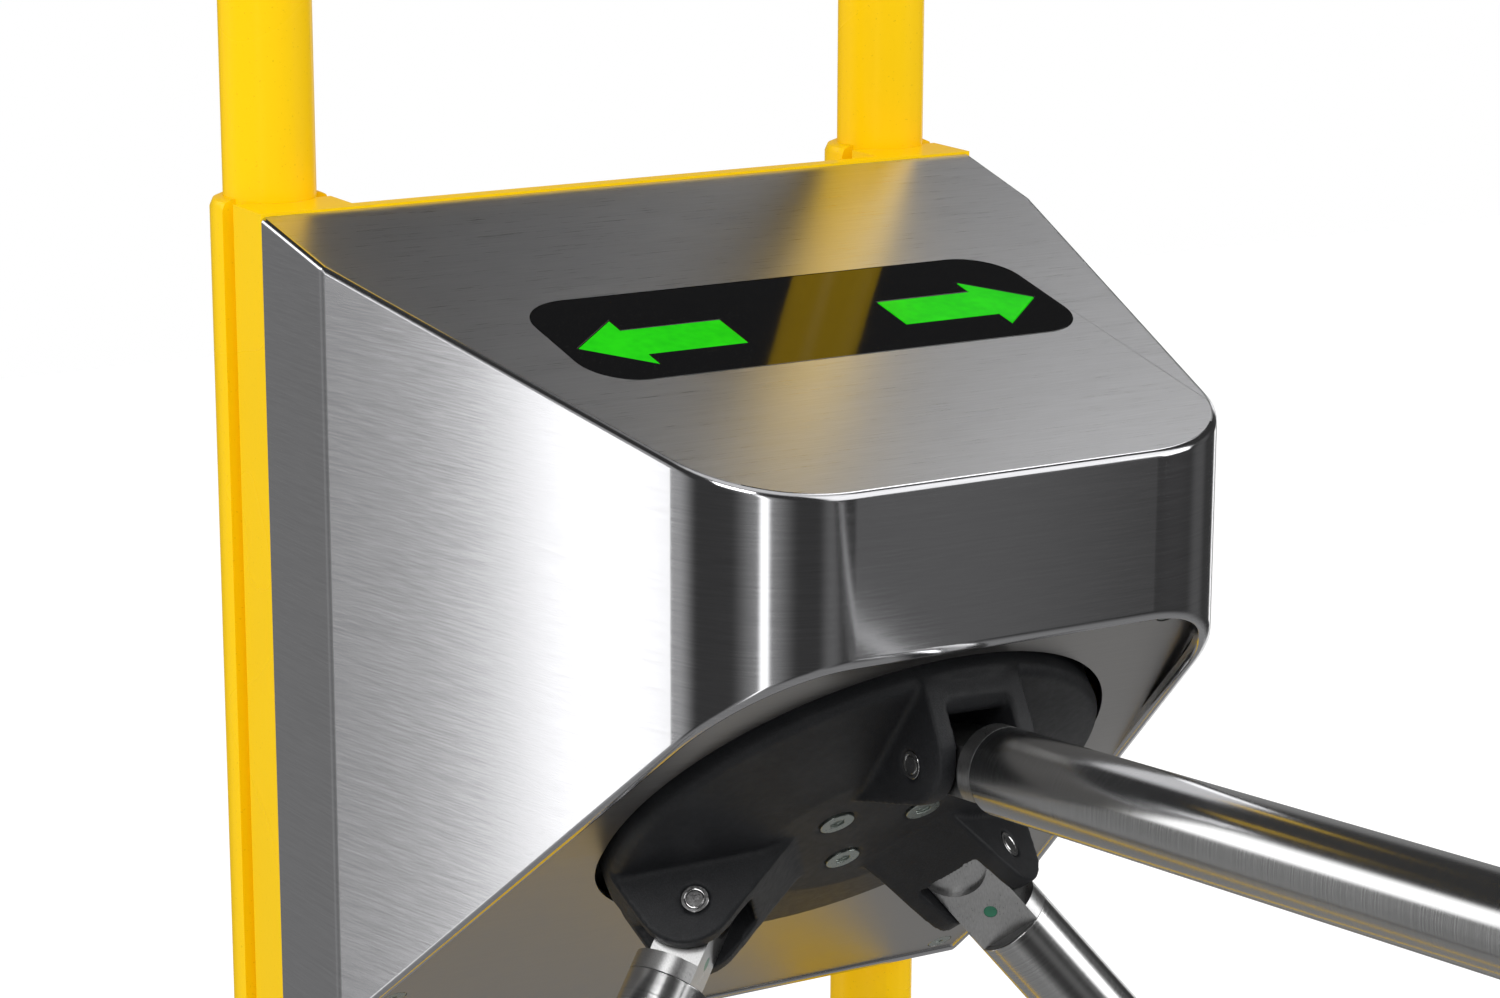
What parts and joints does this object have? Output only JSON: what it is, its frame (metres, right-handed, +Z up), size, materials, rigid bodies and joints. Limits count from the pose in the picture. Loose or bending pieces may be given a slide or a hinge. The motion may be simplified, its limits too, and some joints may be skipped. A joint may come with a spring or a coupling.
{
  "type": "tripod turnstile",
  "caption": "Waist-high turnstile: an inclined hub with folding steel arms under a stainless head with lit green arrows, clamped to yellow posts on a floor plate.",
  "frame": {"origin": "on the floor, midway between the axes of the two posts", "axes": "+Z up; -Y towards the walkway, the way the head and the front arm reach; +X to the right for someone who looks at the head's front"},
  "size_m": [0.7518, 0.8428, 1.256],
  "materials": {
    "yellow_paint": "satin powder coat",
    "stainless": "finely brushed",
    "arm_steel": "satin polished",
    "zinc": "bright zinc",
    "plate_steel": "zinc plated sheet",
    "machined_steel": "machined",
    "brass_parts": "machined",
    "black_window": "clear gloss over black",
    "green_light": "lit from behind",
    "black_casting": "black, fine cast grain",
    "black_plastic": "matte",
    "black_rubber": "matte",
    "green_board": "solder mask",
    "green_marker": "gloss"
  },
  "bodies": {
    "stand": {"base_plate": "yellow_paint", "post_left": "yellow_paint", "post_right": "yellow_paint", "post_caps": "black_plastic", "frame_plate": "yellow_paint", "clamp_left": "yellow_paint", "clamp_right": "yellow_paint", "clamp_bolts": "zinc", "rear_cover": "yellow_paint", "cover_screws": "zinc", "housing_shell": "stainless", "underside_plate": "stainless", "underside_screws": "zinc", "display_window": "black_window", "arrow_left": "green_light", "arrow_right": "green_light", "display_bracket": "plate_steel", "led_boards": "green_board", "bracket_left": "plate_steel", "bracket_right": "plate_steel", "chassis_plate": "plate_steel", "upper_plate": "plate_steel", "chassis_spacers": "plate_steel", "lower_bearing": "machined_steel", "upper_bearing": "machined_steel", "controller_board": "green_board", "board_spacers": "brass_parts", "cable_grommet": "black_rubber", "pawl_pins": "machined_steel", "solenoid_left": "black_plastic", "solenoid_right": "black_plastic", "damper_body": "black_plastic", "encoder_board": "green_board"},
    "hub": {"hub_casting": "black_casting", "hub_screws": "zinc", "pivot_pins": "zinc", "main_shaft": "machined_steel", "lock_wheel": "machined_steel", "index_cam": "machined_steel", "drive_gear": "brass_parts", "encoder_disc": "black_plastic", "shaft_collar": "machined_steel"},
    "damper_gear": {"damper_pinion": "brass_parts"},
    "lock_pawl_left": {"pawl_left": "machined_steel"},
    "lock_pawl_right": {"pawl_right": "machined_steel"},
    "left_plunger": {"plunger_left": "machined_steel"},
    "right_plunger": {"plunger_right": "machined_steel"},
    "detent": {"detent_lever": "machined_steel"},
    "arm_1": {"arm_root_1": "arm_steel", "arm_tube_1": "arm_steel", "arm_cap_1": "black_plastic", "arm_marker_1": "green_marker"},
    "arm_2": {"arm_root_2": "arm_steel", "arm_tube_2": "arm_steel", "arm_cap_2": "black_plastic", "arm_marker_2": "green_marker"},
    "arm_3": {"arm_root_3": "arm_steel", "arm_tube_3": "arm_steel", "arm_cap_3": "black_plastic", "arm_marker_3": "green_marker"}
  },
  "joints": [
    {"name": "hub_turn", "type": "hinge", "parent": "stand", "child": "hub", "pos_m": [0, -0.20033, 0.85949], "axis": [0, -0.7009, -0.7133], "continuous": true},
    {"name": "arm_fold_1", "type": "hinge", "parent": "hub", "child": "arm_1", "pos_m": [0.00312, -0.26349, 0.89142], "axis": [0.9989, 0.033, -0.0324], "range_deg": [0, 95]},
    {"name": "arm_fold_2", "type": "hinge", "parent": "hub", "child": "arm_2", "pos_m": [-0.05996, -0.19328, 0.82242], "axis": [-0.4594, -0.6335, 0.6226], "range_deg": [0, 43]},
    {"name": "arm_fold_3", "type": "hinge", "parent": "hub", "child": "arm_3", "pos_m": [0.05683, -0.18942, 0.81864], "axis": [-0.5395, 0.6005, -0.5902], "range_deg": [0, 46]},
    {"name": "damper_spin", "type": "hinge", "parent": "stand", "child": "damper_gear", "pos_m": [0, -0.1758, 0.95316], "axis": [0, -0.7009, -0.7133], "continuous": true},
    {"name": "pawl_swing_left", "type": "hinge", "parent": "stand", "child": "lock_pawl_left", "pos_m": [-0.05, -0.18671, 0.91901], "axis": [0, -0.7009, -0.7133], "range_deg": [0, 10], "stiffness_Nm_per_rad": 0.3, "springref_deg": -17.19},
    {"name": "pawl_swing_right", "type": "hinge", "parent": "stand", "child": "lock_pawl_right", "pos_m": [0.05, -0.18671, 0.91901], "axis": [0, 0.7009, 0.7133], "range_deg": [0, 10], "stiffness_Nm_per_rad": 0.3, "springref_deg": -17.19},
    {"name": "plunger_slide_left", "type": "slide", "parent": "stand", "child": "left_plunger", "axis": [1, 0, 0], "range_m": [0, 0.0082]},
    {"name": "plunger_slide_right", "type": "slide", "parent": "stand", "child": "right_plunger", "axis": [-1, 0, 0], "range_m": [0, 0.0082]},
    {"name": "detent_swing", "type": "hinge", "parent": "stand", "child": "detent", "pos_m": [0.04, -0.1156, 0.87438], "axis": [0, -0.7009, -0.7133], "range_deg": [0, 5], "stiffness_Nm_per_rad": 0.5, "springref_deg": -17.19}
  ],
  "couplings": [
    {"joint": "damper_spin", "follows": "hub_turn", "ratio": -3},
    {"joint": "plunger_slide_left", "follows": "pawl_swing_left", "m_per_rad": 0.046},
    {"joint": "plunger_slide_right", "follows": "pawl_swing_right", "m_per_rad": 0.046}
  ]
}
